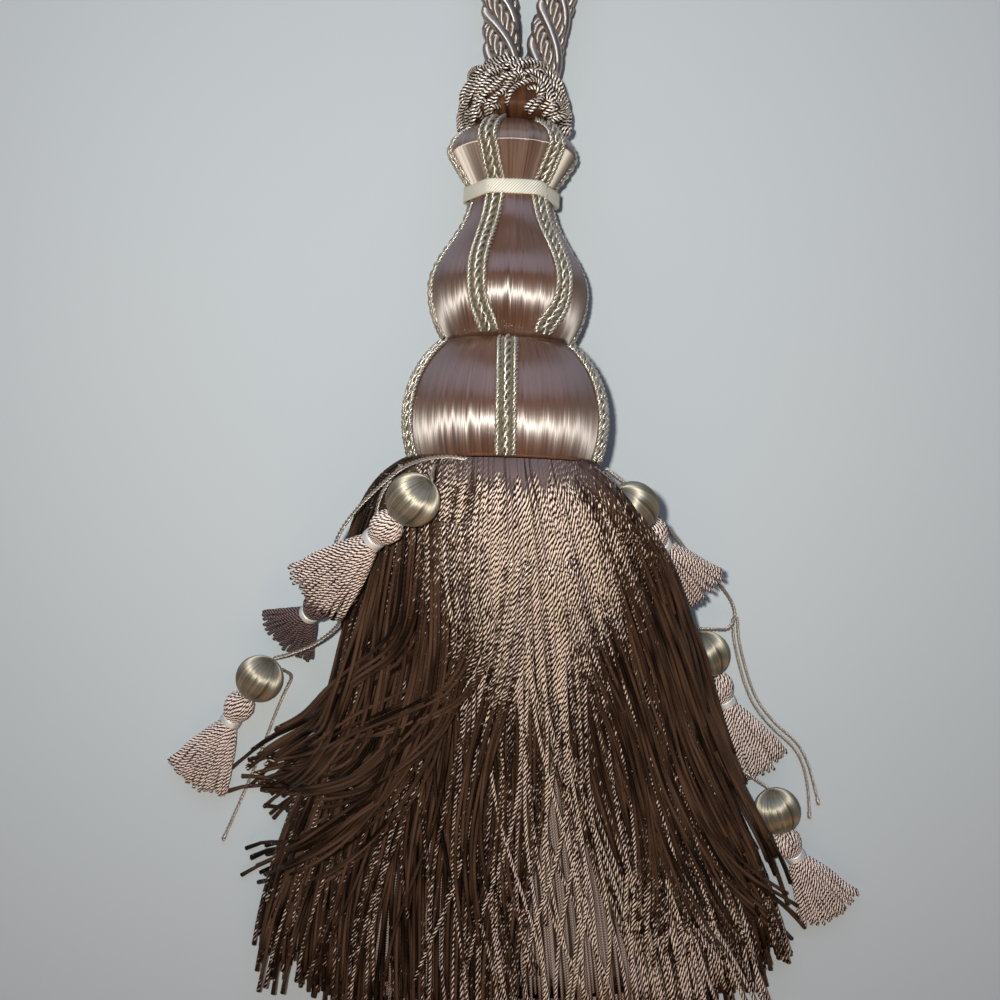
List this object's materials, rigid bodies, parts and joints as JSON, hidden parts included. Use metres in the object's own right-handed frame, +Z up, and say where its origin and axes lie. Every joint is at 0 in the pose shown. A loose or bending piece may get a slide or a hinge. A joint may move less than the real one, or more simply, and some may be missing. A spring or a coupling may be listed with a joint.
{
  "type": "curtain tieback tassel",
  "caption": "Curtain tieback: a tassel of satin-covered moulds with braided trims, a long bullion skirt and small hanging tassels, on a twisted cord loop that holds a curtain back.",
  "frame": {"origin": "on the flat spot of the braid under the bulb, at the level of the surface on which the tassel lies", "axes": "+Z up from the surface, +Y from the skirt along the tassel towards its cord loop, +X to the right seen from above with the cord loop at the top"},
  "size_m": [0.203, 0.515, 0.0618],
  "materials": {
    "satin_floss": "smooth lengthwise floss with a satin sheen",
    "gimp_braid": "braid of fine twisted cords, cream and gold",
    "neck_binding": "bright cream satin binding with fine slanting ribs",
    "ruff_cord": "looped two-ply cords, cream on dark brown",
    "embrace_yarn": "thick twisted cord of smooth and textured strands",
    "skirt_yarn": "dark brown two-ply bullion cords with gold flecks",
    "inner_yarn": "finer beige and pinkish twisted cords",
    "bead_satin": "beads wound with satin thread",
    "tassel_yarn": "small tassels of pinkish brown yarn",
    "wrap_thread": "white binding thread",
    "fine_cord": "thin twisted hanging cords"
  },
  "bodies": {
    "root": {"bulb_mould": "satin_floss", "pear_mould": "satin_floss", "cap_mould": "satin_floss", "long_gimp_1": "gimp_braid", "bulb_gimp_1": "gimp_braid", "long_gimp_2": "gimp_braid", "bulb_gimp_2": "gimp_braid", "long_gimp_3": "gimp_braid", "bulb_gimp_3": "gimp_braid", "long_gimp_4": "gimp_braid", "bulb_gimp_4": "gimp_braid", "long_gimp_5": "gimp_braid", "bulb_gimp_5": "gimp_braid", "long_gimp_6": "gimp_braid", "bulb_gimp_6": "gimp_braid", "neck_band": "neck_binding", "loop_ruff": "ruff_cord", "embrace_cord": "embrace_yarn", "outer_skirt": "skirt_yarn", "inner_skirt": "inner_yarn", "pendant_a_cord": "fine_cord", "pendant_a_bead": "bead_satin", "pendant_a_tassel": "tassel_yarn", "pendant_a_wrap": "wrap_thread", "pendant_b_cord": "fine_cord", "pendant_b_bead": "bead_satin", "pendant_b_tassel": "tassel_yarn", "pendant_b_wrap": "wrap_thread", "pendant_c_cord": "fine_cord", "pendant_c_bead": "bead_satin", "pendant_c_tassel": "tassel_yarn", "pendant_c_wrap": "wrap_thread", "pendant_d_cord": "fine_cord", "pendant_d_bead": "bead_satin", "pendant_d_tassel": "tassel_yarn", "pendant_d_wrap": "wrap_thread", "pendant_e_cord": "fine_cord", "pendant_e_bead": "bead_satin", "pendant_e_tassel": "tassel_yarn", "pendant_e_wrap": "wrap_thread", "pendant_f_cord": "fine_cord", "pendant_f_bead": "bead_satin", "pendant_f_tassel": "tassel_yarn", "pendant_f_wrap": "wrap_thread", "left_tail": "fine_cord", "right_tail_1": "fine_cord", "right_tail_2": "fine_cord"}
  },
  "joints": []
}
